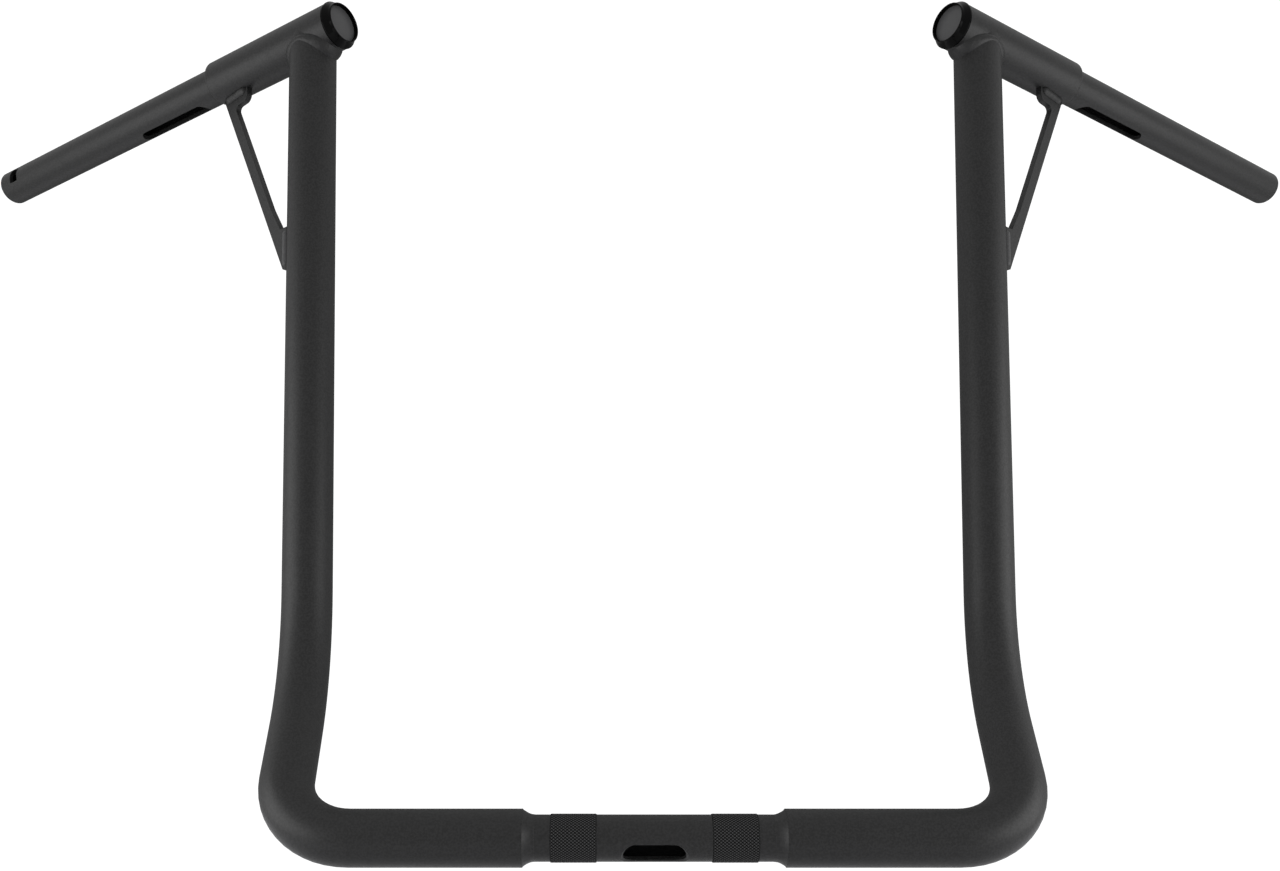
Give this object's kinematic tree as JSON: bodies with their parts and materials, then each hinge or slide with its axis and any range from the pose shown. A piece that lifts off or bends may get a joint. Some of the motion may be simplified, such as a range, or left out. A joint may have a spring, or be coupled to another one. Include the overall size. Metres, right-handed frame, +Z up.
{
  "type": "motorcycle handlebar",
  "caption": "Tall welded motorcycle handlebar: bent tube risers, braced T-shaped crossings with capped ends, pulled-back grips, and a banded clamp tube.",
  "frame": {"origin": "middle of the clamp tube, on its axis", "axes": "+X to the rider's left along the clamp tube, +Y back to the rider, +Z up"},
  "size_m": [1.028, 0.3779, 0.5398],
  "materials": {
    "coated_tube": "satin powder coat",
    "coated_plate": "satin powder coat",
    "coated_weld": "satin powder coat over a weld bead",
    "cap_plastic": "gloss edge, satin dished face"
  },
  "bodies": {
    "root": {"clamp_tube": "coated_tube", "left_shoulder_weld": "coated_weld", "left_riser_tube": "coated_tube", "left_cross_tube": "coated_tube", "left_tee_weld": "coated_weld", "left_end_cap": "cap_plastic", "left_grip_tube": "coated_tube", "left_grip_weld": "coated_weld", "left_brace": "coated_plate", "left_brace_upper_weld": "coated_weld", "left_brace_lower_weld": "coated_weld", "right_shoulder_weld": "coated_weld", "right_riser_tube": "coated_tube", "right_cross_tube": "coated_tube", "right_tee_weld": "coated_weld", "right_end_cap": "cap_plastic", "right_grip_tube": "coated_tube", "right_grip_weld": "coated_weld", "right_brace": "coated_plate", "right_brace_upper_weld": "coated_weld", "right_brace_lower_weld": "coated_weld"}
  },
  "joints": []
}
